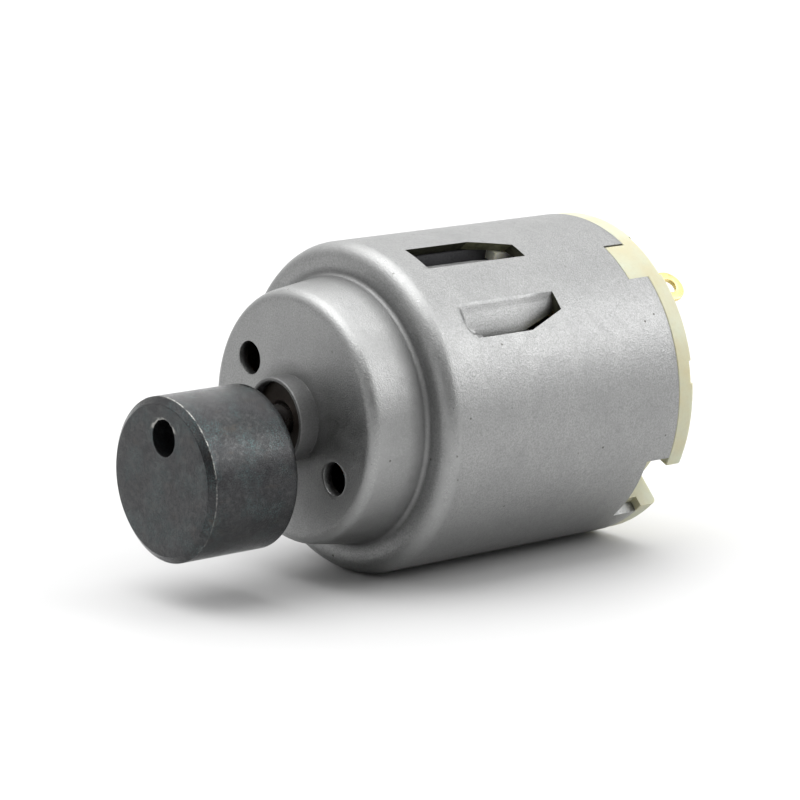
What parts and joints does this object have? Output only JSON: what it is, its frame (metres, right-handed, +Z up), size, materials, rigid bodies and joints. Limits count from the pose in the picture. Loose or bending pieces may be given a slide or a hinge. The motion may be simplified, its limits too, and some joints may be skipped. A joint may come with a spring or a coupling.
{
  "type": "brushed dc motor with eccentric vibration weight",
  "caption": "Cylindrical brushed DC motor with a raised front step, screw holes, rear end cap with lug terminals and an eccentric round weight pressed on its shaft.",
  "frame": {"origin": "on the shaft axis, at the flat front mounting face of the can", "axes": "shaft along Y with its output end towards -Y, +Z up as the motor lies on its side"},
  "size_m": [0.024, 0.0424, 0.024],
  "materials": {
    "can_steel": "satin plated steel, fine matte grain",
    "weight_metal": "dark oxidised sintered metal",
    "nylon": "natural ivory nylon",
    "bronze": "oil-filled sintered bronze",
    "brass": "bright yellow brass sheet",
    "ferrite": "dark grey ferrite",
    "spring_steel": "spring steel strip",
    "ground_steel": "ground shaft steel",
    "silicon_steel": "punched silicon steel laminations",
    "insulation": "green insulating card",
    "copper_wire": "enamelled copper wire",
    "copper": "bare commutator copper",
    "moulding": "dark phenolic moulding",
    "spacer_plastic": "white acetal",
    "phosphor_bronze": "phosphor bronze leaf spring",
    "carbon": "pressed carbon"
  },
  "bodies": {
    "housing": {"motor_can": "can_steel", "end_cap": "nylon", "front_bushing": "bronze", "rear_bushing": "bronze", "magnet_a": "ferrite", "magnet_b": "ferrite", "magnet_spring_clip": "spring_steel", "terminal_a": "brass", "terminal_b": "brass", "brush_arm_a": "phosphor_bronze", "brush_arm_b": "phosphor_bronze", "brush_a": "carbon", "brush_b": "carbon"},
    "rotor": {"shaft": "ground_steel", "eccentric_weight": "weight_metal", "armature_core": "silicon_steel", "front_insulator": "insulation", "rear_insulator": "insulation", "front_spacer": "spacer_plastic", "front_washer": "spacer_plastic", "rear_washer": "spacer_plastic", "commutator_hub": "moulding", "commutator_ring": "moulding", "coil_1": "copper_wire", "coil_2": "copper_wire", "coil_3": "copper_wire", "commutator_segment_1": "copper", "commutator_segment_2": "copper", "commutator_segment_3": "copper"}
  },
  "joints": [
    {"name": "rotor_spin", "type": "hinge", "parent": "housing", "child": "rotor", "pos_m": [0, 0, 0], "axis": [0, 1, 0], "continuous": true}
  ]
}
